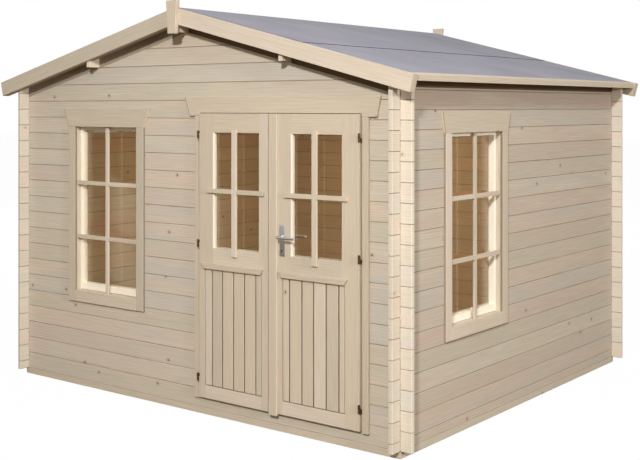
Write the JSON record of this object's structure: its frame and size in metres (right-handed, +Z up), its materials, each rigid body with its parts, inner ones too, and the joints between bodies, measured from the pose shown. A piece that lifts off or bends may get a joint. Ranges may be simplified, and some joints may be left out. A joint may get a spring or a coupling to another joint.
{
  "type": "log cabin",
  "caption": "Small log cabin in untreated spruce: crossing corner logs, shallow felted gable roof, half-glazed double door and barred windows.",
  "frame": {"origin": "centre of the bounding box's underside, on the ground", "axes": "+Z up, +X to the right and +Y towards the back, seen from the door side"},
  "size_m": [3.582, 3.204, 2.612],
  "materials": {
    "log_wood": "planed untreated spruce logs",
    "beam_wood": "sawn untreated spruce",
    "board_wood": "planed untreated spruce boards",
    "joinery_wood": "smooth planed untreated spruce",
    "clear_glass": "clear",
    "felt": "grey mineral bitumen felt",
    "hinge_metal": "bronze passivated steel barrels",
    "handle_metal": "satin"
  },
  "bodies": {
    "cabin": {"front_sill_log": "log_wood", "front_wall_left": "log_wood", "front_wall_right": "log_wood", "front_gable": "log_wood", "left_wall": "log_wood", "right_wall": "log_wood", "rear_wall": "log_wood", "rear_gable": "log_wood", "front_and_rear_beams": "beam_wood", "side_beams": "beam_wood", "floor_joists": "beam_wood", "purlins": "beam_wood", "floor_boards": "board_wood", "left_roof_boards": "board_wood", "right_roof_boards": "board_wood", "eaves_boards": "board_wood", "front_bargeboards": "board_wood", "rear_bargeboards": "board_wood", "front_verge_battens": "board_wood", "rear_verge_battens": "board_wood", "front_finial": "board_wood", "rear_finial": "board_wood", "front_window_frame": "joinery_wood", "front_window_header": "joinery_wood", "front_window_sash": "joinery_wood", "front_window_bars": "joinery_wood", "side_window_frame": "joinery_wood", "side_window_header": "joinery_wood", "side_window_sash": "joinery_wood", "side_window_bars": "joinery_wood", "left_door_jamb": "joinery_wood", "right_door_jamb": "joinery_wood", "door_head": "joinery_wood", "door_header_board": "joinery_wood", "door_threshold": "joinery_wood", "front_window_glass": "clear_glass", "side_window_glass": "clear_glass", "roof_felt": "felt", "left_frame_hinges": "hinge_metal", "right_frame_hinges": "hinge_metal"},
    "left_door": {"left_door_leaf": "joinery_wood", "left_door_glass": "clear_glass", "left_door_trim": "joinery_wood", "left_leaf_hinges": "hinge_metal"},
    "right_door": {"right_door_leaf": "joinery_wood", "right_door_glass": "clear_glass", "right_door_trim": "joinery_wood", "closing_strip": "joinery_wood", "right_leaf_hinges": "hinge_metal", "handle_plates": "handle_metal"},
    "lever": {"door_lever": "handle_metal"}
  },
  "joints": [
    {"name": "left_door_hinge", "type": "hinge", "parent": "cabin", "child": "left_door", "pos_m": [0.134, -1.499, 1.006], "axis": [0, 0, -1], "range_deg": [0, 110]},
    {"name": "right_door_hinge", "type": "hinge", "parent": "cabin", "child": "right_door", "pos_m": [1.384, -1.499, 1.006], "axis": [0, 0, 1], "range_deg": [0, 110]},
    {"name": "lever_turn", "type": "hinge", "parent": "right_door", "child": "lever", "pos_m": [0.815, -1.473, 1.168], "axis": [0, 1, 0], "range_deg": [0, 40], "stiffness_Nm_per_rad": 1.2}
  ]
}
